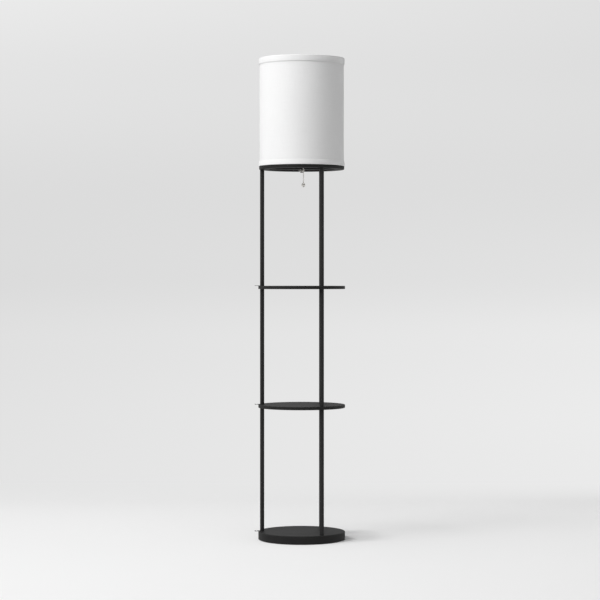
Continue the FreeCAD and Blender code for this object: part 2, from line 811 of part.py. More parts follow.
def make_holder():
    """Pull-chain lamp holder: cap, shell with a shade thread, liner, body, spool and contacts."""
    cap = sub_part("socket_cap", z=RING_TOP, turn="chain_angle")
    revolve(cap, "cap_shell", [[
        ("nipple_radius", ZERO),
        ("cap_boss_radius", ZERO),
        ("cap_boss_radius", "cap_boss_height"),
        ("cap_radius", "cap_cone_height"),
        ("cap_radius", "cap_height"),
        ("cap_radius - cap_wall", "cap_height"),
        ("cap_radius - cap_wall", "cap_cone_height + cap_wall / 2"),
        ("cap_boss_radius - cap_wall", "cap_boss_height + cap_wall"),
        ("nipple_radius", "cap_boss_height + cap_wall"),
    ]])
    spout_gap(cap, "cap_spout_notch", "spout_height")
    parts["socket_cap"] = cap

    shell = sub_part("socket_shell", z=HOLDER_BASE, turn="chain_angle")
    shoulder = "shell_shoulder_height - shell_base + cap_boss_height"
    outline = [
        (SHELL_INSIDE, ZERO),
        ("shell_radius", ZERO),
        ("shell_radius", shoulder),
        ("shell_shoulder_radius", shoulder),
        ("shell_shoulder_radius", f"{shoulder} + shell_shoulder_thickness"),
    ]
    level = f"{shoulder} + shell_shoulder_thickness"
    while value(level) + value("thread_pitch") < value("shell_height"):
        outline.append(("shell_radius", level))
        outline.append(("shell_radius + thread_depth", f"{level} + thread_pitch / 2"))
        level = f"{level} + thread_pitch"
    outline.append(("shell_radius", level))
    outline.append(("shell_radius", "shell_height"))
    outline.append((SHELL_INSIDE, "shell_height"))
    revolve(shell, "shell_wall_turned", [outline])
    spout_gap(shell, "shell_spout_hole", "spout_height - shell_base")
    parts["socket_shell"] = shell

    liner = sub_part("socket_liner", z=HOLDER_BASE, turn="chain_angle")
    revolve(liner, "liner_wall_turned", [[
        (f"{SHELL_INSIDE} - liner_gap - liner_wall", ZERO),
        (f"{SHELL_INSIDE} - liner_gap", ZERO),
        (f"{SHELL_INSIDE} - liner_gap", "shell_height"),
        (f"{SHELL_INSIDE} - liner_gap - liner_wall", "shell_height"),
    ]])
    spout_gap(liner, "liner_spout_hole", "spout_height - shell_base")
    parts["socket_liner"] = liner

    block = rod("holder_block", "holder_body_radius", "holder_body_height",
                (ZERO, ZERO, HOLDER_BASE))
    slot = box(
        "spool_slot",
        ("holder_body_radius + slot_overrun", "spool_thickness + 2 * spool_slot_gap",
         "2 * spool_radius + 2 * spool_slot_gap"),
        ("(spool_offset - spool_radius - spool_slot_gap) * cos(chain_angle)"
         " + (spool_thickness / 2 + spool_slot_gap) * sin(chain_angle)",
         "(spool_offset - spool_radius - spool_slot_gap) * sin(chain_angle)"
         " - (spool_thickness / 2 + spool_slot_gap) * cos(chain_angle)",
         f"{SPOUT_LEVEL} + spool_lift - spool_radius - spool_slot_gap"),
        turn="chain_angle",
    )
    axle_hole = across("axle_hole", "axle_radius + axle_clearance",
                       "axle_length + 2 * axle_clearance")
    parts["holder_body"] = cut("holder_body", block, fuse("holder_cuts", [slot, axle_hole]))

    wheel = across("spool_wheel", "spool_radius", "spool_thickness")
    axle = across("spool_axle", "axle_radius", "axle_length")
    rim = across("spool_rim", "spool_radius", "spool_groove_width")
    hub = across("spool_hub", "spool_hub_radius", "spool_groove_width")
    groove = cut("spool_groove", rim, hub)
    parts["switch_spool"] = fuse("switch_spool", [cut("spool_turned", wheel, groove), axle])

    screw = sub_part("screw_shell", z=HOLDER_TOP)
    wall_in = "screw_shell_radius - screw_shell_wall"
    revolve(screw, "screw_shell_turned", [[
        (wall_in, ZERO),
        ("screw_shell_radius", ZERO),
        ("screw_shell_radius", "screw_shell_height"),
        (wall_in, "screw_shell_height"),
    ]])
    parts["screw_shell"] = screw

    contact = sub_part("centre_contact", z=HOLDER_TOP)
    revolve(contact, "contact_button", [[
        (ZERO, ZERO),
        ("contact_radius", ZERO),
        ("contact_radius / 2", "contact_height"),
        (ZERO, "contact_height"),
    ]])
    parts["centre_contact"] = contact


def spout_gap(body, name, height):
    """Bore the hole that the spout passes through, along the chain's direction."""
    sketch = sketch_on(body, "YZ_Plane", name + "_profile")
    draw_circle(sketch, ZERO, height, "spout_outer_radius")
    hole = body.newObject("PartDesign::Pocket", name)
    hole.Profile = sketch
    hole.Reversed = True
    bind(hole, Length="chain_circle_radius")
    return hole


def across(name, radius, length):
    """Make a cylinder that lies across the chain's direction through the spool's centre."""
    item = doc.addObject("Part::Cylinder", name)
    bind(item, Radius=radius, Height=length)
    turn = FreeCAD.Rotation(FreeCAD.Vector(0, 0, 1), value("chain_angle")).multiply(
        FreeCAD.Rotation(FreeCAD.Vector(1, 0, 0), -value("quarter_turn"))
    )
    item.Placement = FreeCAD.Placement(FreeCAD.Vector(), turn)
    half = f"({length}) / 2"
    item.setExpression("Placement.Base.x", bound(
        f"spool_offset * cos(chain_angle) + {half} * sin(chain_angle)"))
    item.setExpression("Placement.Base.y", bound(
        f"spool_offset * sin(chain_angle) - {half} * cos(chain_angle)"))
    item.setExpression("Placement.Base.z", bound(f"{SPOUT_LEVEL} + spool_lift"))
    return item


# ---------------------------------------------------------------------- spout, chain and pendant
CHAIN_X = "chain_circle_radius * cos(chain_angle)"
CHAIN_Y = "chain_circle_radius * sin(chain_angle)"
CHAIN_TOP = f"({SPOUT_LEVEL} - spout_bend_radius)"


def make_spout():
    """Bent tube that turns the chain from the switch straight down, with a rolled lip."""
    body = sub_part("chain_spout", z=SPOUT_LEVEL, turn="chain_angle")
    bend_x = "chain_circle_radius - spout_bend_radius"
    path = sketch_on(body, "XZ_Plane", "spout_path")
    corner = FreeCAD.Vector(value(bend_x), float(), float())
    centre = FreeCAD.Vector(value(bend_x), -value("spout_bend_radius"), float())
    mouth_x = value("chain_circle_radius")
    low = -value("spout_bend_radius") - value("spout_drop")
    path.addGeometry(Part.LineSegment(
        FreeCAD.Vector(value("spout_start"), float(), float()), corner), False)
    path.addGeometry(Part.ArcOfCircle(
        Part.Circle(centre, FreeCAD.Vector(0, 0, 1), value("spout_bend_radius")),
        float(), math.radians(value("quarter_turn"))), False)
    path.addGeometry(Part.LineSegment(
        FreeCAD.Vector(mouth_x, centre.y, float()), FreeCAD.Vector(mouth_x, low, float())), False)
    pin_point(path, 0, 1, "spout_start", ZERO)
    pin_point(path, 0, 2, bend_x, ZERO)
    pin_point(path, 1, 3, bend_x, "-spout_bend_radius")
    path.addConstraint(Sketcher.Constraint("Coincident", 0, 2, 1, 2))
    path.addConstraint(Sketcher.Constraint("Coincident", 1, 1, 2, 1))
    path.addConstraint(Sketcher.Constraint("Vertical", 2))
    pin_height(path, 1, 1, "-spout_bend_radius")
    pin_height(path, 2, 2, "-spout_bend_radius - spout_drop")
    section = sketch_on(body, "YZ_Plane", "spout_section", "spout_start")
    draw_circle(section, ZERO, ZERO, "spout_outer_radius")
    draw_circle(section, ZERO, ZERO, "spout_inner_radius")
    pipe = body.newObject("PartDesign::AdditivePipe", "spout_tube")
    pipe.Profile = section
    pipe.Spine = path
    lip_low = "-spout_bend_radius - spout_drop"
    revolve(body, "spout_lip", [[
        ("chain_circle_radius + spout_inner_radius", lip_low),
        ("chain_circle_radius + spout_lip_radius", lip_low),
        ("chain_circle_radius + spout_lip_radius", f"{lip_low} + spout_lip_height"),
        ("chain_circle_radius + spout_inner_radius", f"{lip_low} + spout_lip_height"),
    ]], axis_x="chain_circle_radius")
    parts["chain_spout"] = body


def string_beads(name, top, count, wire_top, wire_low):
    """Beads on a wire, hanging straight down from the first bead's centre."""
    pieces = [rod(name + "_wire", "chain_wire_radius", f"{wire_top} - ({wire_low})",
                  (CHAIN_X, CHAIN_Y, wire_low))]
    for bead in range(int(value(count))):
        ball = doc.addObject("Part::Sphere", f"{name}_bead_{bead}")
        bind(ball, Radius="bead_radius")
        place(ball, x=CHAIN_X, y=CHAIN_Y, z=f"{top} - {bead} * bead_pitch")
        pieces.append(ball)
    parts[name] = fuse(name, pieces)


def make_chain():
    """Short lead out of the spout, the ball chain that swings from it, and the pendant."""
    lead_low = f"({CHAIN_TOP} - bead_pitch * lead_bead_count + bead_pitch)"
    string_beads("chain_lead", CHAIN_TOP, "lead_bead_count", CHAIN_TOP, lead_low)
    chain_top = f"({CHAIN_TOP} - bead_pitch * lead_bead_count)"
    low = f"({chain_top} - bead_pitch * chain_bead_count + bead_pitch)"
    string_beads("ball_chain", chain_top, "chain_bead_count",
                 f"({lead_low} - bead_radius - bead_gap)", low)

    body = sub_part("chain_pendant", x=CHAIN_X, y=CHAIN_Y, z=f"{low} - bead_radius")
    neck = "pendant_neck_height"
    revolve(body, "pendant_neck", [[
        (ZERO, f"-{neck} - pendant_radius"),
        ("pendant_neck_radius", f"-{neck} - pendant_radius"),
        ("pendant_neck_radius", ZERO),
        (ZERO, ZERO),
    ]])
    half_ball(body, "pendant_ball", "pendant_radius", f"-{neck} - pendant_radius")
    tip = f"-{neck} - 2 * pendant_radius"
    revolve(body, "pendant_tip", [[
        (ZERO, f"{tip} - pendant_tip_height / 2"),
        ("pendant_tip_radius", f"{tip} - pendant_tip_height / 2"),
        ("pendant_tip_radius", f"{tip} + pendant_tip_height"),
        (ZERO, f"{tip} + pendant_tip_height"),
    ]])
    parts["chain_pendant"] = body


def half_ball(body, name, radius, centre):
    """Add a ball on the body's axis, turned from a half circle."""
    sketch = sketch_on(body, "XZ_Plane", name + "_profile")
    middle = FreeCAD.Vector(float(), value(centre), float())
    quarter = math.radians(value("quarter_turn"))
    arc = sketch.addGeometry(Part.ArcOfCircle(
        Part.Circle(middle, FreeCAD.Vector(0, 0, 1), value(radius)), -quarter, quarter), False)
    line = sketch.addGeometry(Part.LineSegment(
        middle + FreeCAD.Vector(0, value(radius), 0), middle - FreeCAD.Vector(0, value(radius), 0)
    ), False)
    sketch.addConstraint(Sketcher.Constraint("Coincident", arc, 2, line, 1))
    sketch.addConstraint(Sketcher.Constraint("Coincident", arc, 1, line, 2))
    pin_point(sketch, arc, 3, ZERO, centre)
    pin_point(sketch, line, 1, ZERO, f"{centre} + {radius}")
    sketch.addConstraint(Sketcher.Constraint("PointOnObject", line, 2, -2))
    ball = body.newObject("PartDesign::Revolution", name)
    ball.Profile = sketch
    ball.ReferenceAxis = (sketch, ["V_Axis"])
    bind(ball, Angle="full_turn")
    return ball


# ----------------------------------------------------------------------------------------- shade
def make_shade():
    """Welded fitter frame, ring nut, liner, fabric, hems and the upper wire."""
    fitter_level = f"({RING_TOP} + shell_shoulder_height + cap_boss_height + shell_shoulder_thickness)"
    bore = "shell_radius + thread_depth + liner_gap"
    washer = cut("fitter_washer",
                 rod("fitter_disc", "fitter_radius", "fitter_thickness",
                     (ZERO, ZERO, fitter_level)),
                 rod("fitter_bore", bore, "fitter_thickness", (ZERO, ZERO, fitter_level)))
    pieces = [washer, wire_ring("lower_wire", LOWER_WIRE_HEIGHT)]
    start_z = f"({fitter_level} + fitter_thickness / 2)"
    run = f"({FRAME_CIRCLE} - fitter_radius + arm_weld)"
    fall = f"({start_z} - {LOWER_WIRE_HEIGHT})"
    for number in range(int(value("arm_count"))):
        angle = f"(first_arm_angle + {number} * full_turn / arm_count)"
        arm = doc.addObject("Part::Cylinder", f"fitter_arm_{number}")
        bind(arm, Radius="frame_wire_radius", Height=f"sqrt({run} * {run} + {fall} * {fall})")
        lean = math.degrees(math.atan2(value(run), -value(fall)))
        spin = FreeCAD.Rotation(FreeCAD.Vector(0, 0, 1), value(angle))
        arm.Placement = FreeCAD.Placement(
            FreeCAD.Vector(), spin.multiply(FreeCAD.Rotation(FreeCAD.Vector(0, 1, 0), lean)))
        arm.setExpression("Placement.Base.x", bound(
            f"(fitter_radius - arm_weld) * cos({angle})"))
        arm.setExpression("Placement.Base.y", bound(
            f"(fitter_radius - arm_weld) * sin({angle})"))
        arm.setExpression("Placement.Base.z", bound(start_z))
        pieces.append(arm)
    parts["fitter_frame"] = fuse("fitter_frame", pieces)

    nut = sub_part("shade_ring_nut", z=f"{fitter_level} + fitter_thickness")
    revolve(nut, "ring_nut_turned", [[
        (bore, ZERO),
        ("ring_nut_radius", ZERO),
        ("ring_nut_radius", "ring_nut_height / 2"),
        ("ring_nut_radius - thread_depth", "ring_nut_height"),
        (bore, "ring_nut_height"),
    ]])
    parts["shade_ring_nut"] = nut

    height = "shade_height - 2 * soft_gap"
    edge = "(hem_thickness + soft_gap)"
    liner = sub_part("shade_liner", z=SHADE_BOTTOM)
    revolve(liner, "liner_tube", [[
        (f"{LINER_OUTSIDE} - shade_liner_thickness", edge),
        (LINER_OUTSIDE, edge),
        (LINER_OUTSIDE, f"{height} - {edge}"),
        (f"{LINER_OUTSIDE} - shade_liner_thickness", f"{height} - {edge}"),
    ]])
    parts["shade_liner"] = liner

    fabric = sub_part("shade_fabric", z=SHADE_BOTTOM)
    revolve(fabric, "fabric_tube", [[
        ("shade_radius - fabric_thickness", edge),
        ("shade_radius", edge),
        ("shade_radius", f"{height} - {edge}"),
        ("shade_radius - fabric_thickness", f"{height} - {edge}"),
    ]])
    parts["shade_fabric"] = fabric

    lower = sub_part("lower_hem", z=SHADE_BOTTOM)
    revolve(lower, "lower_hem_turned", [[
        ("hem_lip_radius", ZERO),
        ("hem_radius", ZERO),
        ("hem_radius", "hem_height"),
        ("shade_radius + soft_gap", "hem_height"),
        ("shade_radius + soft_gap", "hem_thickness"),
        ("hem_lip_radius", "hem_thickness"),
    ]])
    parts["lower_hem"] = lower

    upper = sub_part("upper_hem", z=f"{SHADE_BOTTOM} + {height} - hem_height")
    revolve(upper, "upper_hem_turned", [[
        ("shade_radius + soft_gap", ZERO),
        ("hem_radius", ZERO),
        ("hem_radius", "hem_height"),
        ("hem_lip_radius", "hem_height"),
        ("hem_lip_radius", "hem_height - hem_thickness"),
        ("shade_radius + soft_gap", "hem_height - hem_thickness"),
    ]])
    parts["upper_hem"] = upper

    upper_level = f"({SHADE_BOTTOM} + {height} - {edge} - frame_wire_radius)"
    ring = wire_ring("upper_wire", upper_level)
    ring.Label = "upper_wire"
    parts["upper_wire"] = ring


def wire_ring(name, level):
    """Make a round wire ring at the shade's inside wall."""
    ring = doc.addObject("Part::Torus", name)
    bind(ring, Radius1=FRAME_CIRCLE, Radius2="frame_wire_radius")
    place(ring, z=level)
    return ring


# ------------------------------------------------------------------------------------------ lamp
def make_bulb():
    """Screw-in lamp: threaded cap, contact tip, body and globe."""
    base = f"({HOLDER_TOP} + contact_height)"
    tip = sub_part("bulb_contact", z=base)
    revolve(tip, "bulb_tip_turned", [[
        (ZERO, ZERO),
        ("bulb_tip_radius / 2", ZERO),
        ("bulb_cap_radius - bulb_thread_depth - bulb_cap_wall", "bulb_tip_height"),
        (ZERO, "bulb_tip_height"),
    ]])
    parts["bulb_contact"] = tip

    cap = sub_part("bulb_cap", z=f"{base} + bulb_tip_height")
    inner = "bulb_cap_radius - bulb_thread_depth - bulb_cap_wall"
    outline = [(inner, ZERO), ("bulb_cap_radius - bulb_thread_depth", ZERO)]
    level = "bulb_cap_wall"
    while value(level) + value("screw_shell_pitch") < value("bulb_cap_height"):
        outline.append(("bulb_cap_radius - bulb_thread_depth", level))
        outline.append(("bulb_cap_radius", f"{level} + screw_shell_pitch / 2"))
        level = f"{level} + screw_shell_pitch"
    outline.append(("bulb_cap_radius - bulb_thread_depth", level))
    outline.append(("bulb_cap_radius - bulb_thread_depth", "bulb_cap_height"))
    outline.append((inner, "bulb_cap_height"))
    revolve(cap, "bulb_cap_turned", [outline])
    parts["bulb_cap"] = cap

    foot = f"({base} + bulb_tip_height + bulb_cap_height)"
    body = sub_part("bulb_body", z=foot)
    revolve(body, "bulb_body_turned", [[
        (ZERO, ZERO),
        ("bulb_collar_radius", ZERO),
        ("bulb_collar_radius", "bulb_collar_height"),
        ("bulb_body_radius", "bulb_body_height"),
        (ZERO, "bulb_body_height"),
    ]])
    parts["bulb_body"] = body

    globe = doc.addObject("Part::Sphere", "globe_ball")
    bind(globe, Radius="bulb_globe_radius")
    place(globe, z=f"{foot} + bulb_globe_centre")
    hollow = doc.addObject("Part::Sphere", "globe_hollow")
    bind(hollow, Radius="bulb_globe_radius - bulb_lip")
    place(hollow, z=f"{foot} + bulb_globe_centre")
    below = rod("globe_trim", "bulb_globe_radius + bulb_lip", "bulb_body_height",
                (ZERO, ZERO, foot))
    parts["bulb_globe"] = cut("bulb_globe", globe, fuse("globe_cuts", [hollow, below]))


make_base()
make_shelf("lower_shelf", "lower_shelf_top")
make_shelf("upper_shelf", "upper_shelf_top")
make_poles()
make_spacers()
make_guides()
make_top_ring()
make_nipple()
make_holder()
make_spout()
make_chain()
make_shade()
make_bulb()
doc.recompute()

# -------------------------------------------------------------------------------- check and write
broken = [item.Label for item in doc.Objects if {"Invalid", "Error"} & set(item.State)]
if broken:
    raise RuntimeError("objects that did not build: " + ", ".join(broken))
os.makedirs("parts", exist_ok=True)
for name, item in parts.items():
    if item.Shape.isNull() or not item.Shape.isValid() or not item.Shape.Solids:
        raise RuntimeError("sub-part without a valid solid: " + name)
    item.Shape.exportStep(f"parts/{name}.step")
    span = item.Shape.BoundBox
    print(f"{name}: {len(item.Shape.Solids)} solids, {item.Shape.Volume:.0f} mm3, "
          f"z {span.ZMin:.1f} to {span.ZMax:.1f}, width {span.XLength:.1f} x {span.YLength:.1f}")
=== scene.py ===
"""Looks of the round shelf floor lamp: materials, the cloth shade with its hems, light, camera.

All lengths are in metres, unless a name says otherwise.
"""

import json
import math

import bmesh
import bpy
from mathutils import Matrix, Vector, noise


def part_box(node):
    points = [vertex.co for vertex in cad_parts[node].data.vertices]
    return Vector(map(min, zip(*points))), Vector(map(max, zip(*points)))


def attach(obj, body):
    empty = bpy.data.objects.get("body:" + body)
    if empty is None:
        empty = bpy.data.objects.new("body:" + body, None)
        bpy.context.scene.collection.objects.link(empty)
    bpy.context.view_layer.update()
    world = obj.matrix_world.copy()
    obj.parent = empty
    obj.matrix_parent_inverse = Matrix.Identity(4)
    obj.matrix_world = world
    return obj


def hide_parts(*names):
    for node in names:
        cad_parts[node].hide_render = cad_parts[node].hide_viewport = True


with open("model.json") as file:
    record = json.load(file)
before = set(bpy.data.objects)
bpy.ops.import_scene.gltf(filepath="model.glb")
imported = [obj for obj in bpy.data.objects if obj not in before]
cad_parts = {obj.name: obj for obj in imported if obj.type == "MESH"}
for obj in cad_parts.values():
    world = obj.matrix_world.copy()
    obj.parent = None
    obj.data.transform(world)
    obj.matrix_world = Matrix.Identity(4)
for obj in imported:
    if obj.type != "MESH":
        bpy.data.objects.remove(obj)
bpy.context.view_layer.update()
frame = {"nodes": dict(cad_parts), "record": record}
LAMP = "lamp"

# ------------------------------------------------------------------------------------ node trees


class Graph:
    """A node tree that is built from nothing.

    A source is a pair of a node and the name or number of its output.
    """

    def __init__(self, owner):
        owner.use_nodes = True
        self.tree = owner.node_tree
        self.tree.nodes.clear()

    def feed(self, node, inputs):
        """Give each input, by name or number, a source or else a plain value."""
        for key, entry in inputs.items():
            if isinstance(entry, tuple) and isinstance(entry[0], bpy.types.Node):
                source, out = entry
                self.tree.links.new(source.outputs[out], node.inputs[key])
            else:
                node.inputs[key].default_value = entry

    def add(self, kind, inputs=None, **settings):
        """Add a node with its settings and inputs."""
        node = self.tree.nodes.new(kind)
        for key, entry in settings.items():
            setattr(node, key, entry)
        self.feed(node, inputs or {})
        return node

    def rays(self, *kinds):
        """1 on the kinds of ray that are named, and 0 on all others."""
        path = self.add("ShaderNodeLightPath")
        found = (path, kinds[0])
        for kind in kinds[1:]:
            either = self.add("ShaderNodeMath", {0: found, 1: (path, kind)}, operation="MAXIMUM")
            found = (either, "Value")
        return found


class Look(Graph):
    """A material on one Principled shader."""

    def __init__(self, name):
        self.material = bpy.data.materials.new(name)
        super().__init__(self.material)
        self.shader = self.add("ShaderNodeBsdfPrincipled")
        self.out = self.add("ShaderNodeOutputMaterial", {"Surface": (self.shader, "BSDF")})
        self.relief = None

    def set(self, **inputs):
        """Set inputs of the shader, such as base_color, by their names in lower case."""
        named = {key.replace("_", " ").title().replace("Ior", "IOR"): entry
                 for key, entry in inputs.items()}
        self.feed(self.shader, named)

    def coords(self, space="Object", stretch=(1, 1, 1)):
        """Places on the piece in metres, closer together where they are stretched."""
        source = (self.add("ShaderNodeTexCoord"), space)
        return self.add("ShaderNodeMapping", {"Vector": source, "Scale": stretch}), "Vector"

    def noise(self, scale, detail, rough, **coords):
        """Clouds, grain or pebble, by their scale."""
        inputs = {"Vector": self.coords(**coords), "Scale": scale, "Detail": detail,
                  "Roughness": rough}
        return self.add("ShaderNodeTexNoise", inputs), "Fac"

    def ramp(self, source, stops, **settings):
        """Colours by level: each stop is a level and its colour."""
        node = self.add("ShaderNodeValToRGB", {"Fac": source})
        ramp = node.color_ramp
        while len(ramp.elements) > 1:
            ramp.elements.remove(ramp.elements[0])
        (level, color), *others = stops
        ramp.elements[0].position = level
        ramp.elements[0].color = (*color, 1)
        for level, color in others:
            ramp.elements.new(level).color = (*color, 1)
        for key, entry in settings.items():
            setattr(ramp, key, entry)
        return node, "Color"

    def remap(self, source, smooth=False, **limits):
        """Change one range of levels into another, by limits such as from_min."""
        kind = "SMOOTHSTEP" if smooth else "LINEAR"
        inputs = {key.replace("_", " ").title(): entry for key, entry in limits.items()}
        inputs["Value"] = source
        return self.add("ShaderNodeMapRange", inputs, interpolation_type=kind), "Result"

    def roughness(self, source, low, high):
        """Let the gloss vary between two levels."""
        self.set(roughness=self.remap(source, to_min=low, to_max=high))

    def multiply(self, a, b):
        """Multiply two colours."""
        inputs = {0: 1.0, 6: a, 7: b}
        return self.add("ShaderNodeMix", inputs, data_type="RGBA", blend_type="MULTIPLY"), 2

    def bump(self, height, strength, distance):
        """Add relief on top of any that is there already."""
        inputs = {"Height": height, "Strength": strength, "Distance": distance}
        if self.relief:
            inputs["Normal"] = self.relief
        self.relief = (self.add("ShaderNodeBump", inputs), "Normal")
        self.set(normal=self.relief)


# ------------------------------------------------------------------------------------- materials
THREAD_PITCH = 0.0011
# About the distance over which a wave texture repeats at scale 1.
WAVE_LENGTH = 1 / 3.1416


def grey(level, warm=0.0):
    """A near-grey colour, a little warm or cool."""
    return (level * (1 + warm), level, level * (1 - warm))


def black_board():
    """Sprayed black lacquer on board: fine orange peel, faint grain, slightly uneven gloss."""
    m = Look("black_board_look")
    peel = m.noise(scale=900, detail=2, rough=0.4)
    grain = m.noise(scale=30, detail=5, rough=0.6, stretch=(1, 14, 1))
    cloud = m.noise(scale=7, detail=4, rough=0.55)
    shade = m.ramp(cloud, [(0.3, grey(0.0145)), (0.7, grey(0.018, 0.02))])
    grained = m.ramp(grain, [(0.35, grey(0.86)), (0.65, grey(1.0))])
    m.set(base_color=m.multiply(shade, grained), specular_ior_level=0.13)
    m.roughness(cloud, low=0.55, high=0.68)
    m.bump(grain, strength=0.10, distance=0.0004)
    m.bump(peel, strength=0.16, distance=0.00012)
    return m.material


def black_steel():
    """Black powder coat on steel tube: fine pebble and slightly uneven gloss."""
    m = Look("black_steel_look")
    pebble = m.noise(scale=1500, detail=2, rough=0.5)
    cloud = m.noise(scale=11, detail=4, rough=0.6, stretch=(1, 1, 0.35))
    shade = m.ramp(cloud, [(0.3, grey(0.022)), (0.72, grey(0.0275, 0.02))])
    m.set(base_color=shade, specular_ior_level=0.08)
    m.roughness(cloud, low=0.42, high=0.54)
    m.bump(pebble, strength=0.2, distance=0.0001)
    return m.material


def plated(name, color, rough):
    """Plated or turned metal with fine turning lines and small stains."""
    m = Look(name)
    lines = m.noise(scale=90, detail=3, rough=0.6, stretch=(1, 1, 40))
    stain = m.noise(scale=60, detail=4, rough=0.6)
    dull = tuple(c * 0.88 for c in color)
    m.set(base_color=m.ramp(stain, [(0.3, dull), (0.65, color)]), metallic=1.0)
    m.roughness(stain, low=rough * 0.8, high=rough * 1.35)
    m.bump(lines, strength=0.05, distance=0.00005)
    return m.material


def cast_iron():
    """Sand-cast iron with a dull skin."""
    m = Look("weight_iron_look")
    sand = m.noise(scale=420, detail=5, rough=0.7)
    cloud = m.noise(scale=25, detail=4, rough=0.6)
    shade = m.ramp(cloud, [(0.3, grey(0.08)), (0.7, grey(0.13, 0.06))])
    m.set(base_color=shade, metallic=0.55)
    m.roughness(sand, low=0.55, high=0.8)
    m.bump(sand, strength=0.6, distance=0.0005)
    return m.material


def felt():
    """Pressed black felt: matted fibres."""
    m = Look("felt_look")
    fibre = m.noise(scale=700, detail=6, rough=0.75, stretch=(1, 2.2, 1))
    mat = m.noise(scale=90, detail=5, rough=0.6)
    shade = m.ramp(mat, [(0.3, grey(0.02)), (0.7, grey(0.045))])
    m.set(base_color=shade, sheen_weight=0.35, sheen_roughness=0.6)
    m.roughness(mat, low=0.9, high=1.0)
    m.bump(fibre, strength=0.8, distance=0.0006)
    return m.material


def moulded(name, low, high, rough, pebble=800):
    """Moulded plastic or enamel: fine pebble and small differences of tone."""
    m = Look(name)
    fine = m.noise(scale=pebble, detail=3, rough=0.5)
    cloud = m.noise(scale=35, detail=3, rough=0.5)
    m.set(base_color=m.ramp(cloud, [(0.3, low), (0.7, high)]))
    m.roughness(cloud, low=rough * 0.85, high=rough * 1.2)
    m.bump(fine, strength=0.15, distance=0.00012)
    return m.material


def fibre_paper():
    """Grey-brown fibre board of the holder's insulating sleeve."""
    m = Look("paper_liner_look")
    fibre = m.noise(scale=260, detail=6, rough=0.7, stretch=(1, 1, 6))
    m.set(base_color=m.ramp(fibre, [(0.3, (0.2, 0.15, 0.1)), (0.7, (0.34, 0.27, 0.19))]))
    m.roughness(fibre, low=0.8, high=0.95)
    m.bump(fibre, strength=0.4, distance=0.0002)
    return m.material


def shade_cloth(name, level):
    """White woven cloth: a plain weave in UV metres, slubs in both threads, faint mottling."""
    m = Look(name)
    threads = {"Vector": m.coords("UV"), "Scale": WAVE_LENGTH / THREAD_PITCH,
               "Distortion": 0.6, "Detail": 1.5, "Detail Scale": 0.6}
    warp, weft = (
        (m.add("ShaderNodeTexWave", threads, wave_type="BANDS", bands_direction=direction,
               wave_profile="SIN"), "Color")
        for direction in "XY")
    weave = m.multiply(warp, weft)
    slub_up = m.noise(scale=1, detail=5, rough=0.65, space="UV", stretch=(260, 24, 1))
    slub_round = m.noise(scale=1, detail=5, rough=0.65, space="UV", stretch=(22, 300, 1))
    slubs = m.multiply(slub_up, slub_round)
    cloud = m.noise(scale=9, detail=4, rough=0.55)
    base = m.ramp(cloud, [(0.3, grey(level * 0.985)), (0.7, grey(level))])
    tint = m.remap(slubs, from_min=0.1, from_max=0.45, to_min=0.965, to_max=1.0)
    m.set(base_color=m.multiply(base, tint), specular_ior_level=0.25, sheen_weight=0.08,
          sheen_roughness=0.5)
    m.roughness(cloud, low=0.85, high=0.95)
    m.bump(weave, strength=0.22, distance=0.00025)
    m.bump(slubs, strength=0.25, distance=0.0004)
    return m.material


LOOKS = {
    "black_board": black_board(),
    "black_steel": black_steel(),
    "weight_iron": cast_iron(),
    "felt": felt(),
    "zinc_steel": plated("zinc_steel_look", (0.64, 0.65, 0.67), 0.32),
    "nickel": plated("nickel_look", (0.66, 0.64, 0.61), 0.14),
    "phenolic": moulded("phenolic_look", grey(0.012), grey(0.022, 0.1), 0.4),
    "paper_liner": fibre_paper(),
    "brass": plated("brass_look", (0.62, 0.43, 0.16), 0.2),
    "shade_fabric": shade_cloth("shade_fabric_look", 0.86),
    "hem_fabric": shade_cloth("hem_fabric_look", 0.87),
    "shade_styrene": moulded("shade_styrene_look", grey(0.80), grey(0.84), 0.35, 300),
    "white_wire": moulded("white_wire_look", grey(0.66), grey(0.74), 0.3),
    "bulb_plastic": moulded("bulb_plastic_look", grey(0.74), grey(0.8), 0.28),
    "bulb_diffuser": moulded("bulb_diffuser_look", grey(0.8), grey(0.86, 0.01), 0.5),
    "bulb_metal": plated("bulb_metal_look", (0.62, 0.62, 0.63), 0.3),
}
SLOT_OF = {s["node"]: s["material_slot"] for s in frame["record"]["subparts"]}
for node_name, node in frame["nodes"].items():
    node.data.materials.clear()
    node.data.materials.append(LOOKS[SLOT_OF[node_name]])

# ------------------------------------------------------------------------------ making new pieces


def dress(obj, slot_name, body=LAMP):
    """Give a new piece the material of a record slot, and the body that it rides on."""
    obj.data.materials.append(LOOKS[slot_name])
    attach(obj, body)


def smooth_object(name, mesh):
    """Shade a mesh smooth and put it into the scene."""
    for poly in mesh.polygons:
        poly.use_smooth = True
    obj = bpy.data.objects.new(name, mesh)
    bpy.context.collection.objects.link(obj)
    return obj


def mesh_object(name, verts, faces, uv=None):
    """Make an object from points and faces, with the UV place of each point if that is given."""
    mesh = bpy.data.meshes.new(name)
    mesh.from_pydata(verts, [], faces)
    if uv:
        layer = mesh.uv_layers.new(name="UVMap")
        corners = [corner for face in faces for corner in face]
        for spot, corner in zip(layer.data, corners):
            spot.uv = uv(corner)
    mesh.validate()
    mesh.update()
    return smooth_object(name, mesh)


# ----------------------------------------------------------------------------------------- shade
wall_low, wall_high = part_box("shade_fabric")
WALL_OUT, WALL_LOW, WALL_TALL = wall_high[0], wall_low[2], wall_high[2] - wall_low[2]
hem_low, hem_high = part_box("lower_hem")
HEM_OUT, HEM_TALL = hem_high[0], hem_high[2] - hem_low[2]
SHADE_LOW, SHADE_HIGH = hem_low[2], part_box("upper_hem")[1][2]

FULL_TURN = 2 * math.pi
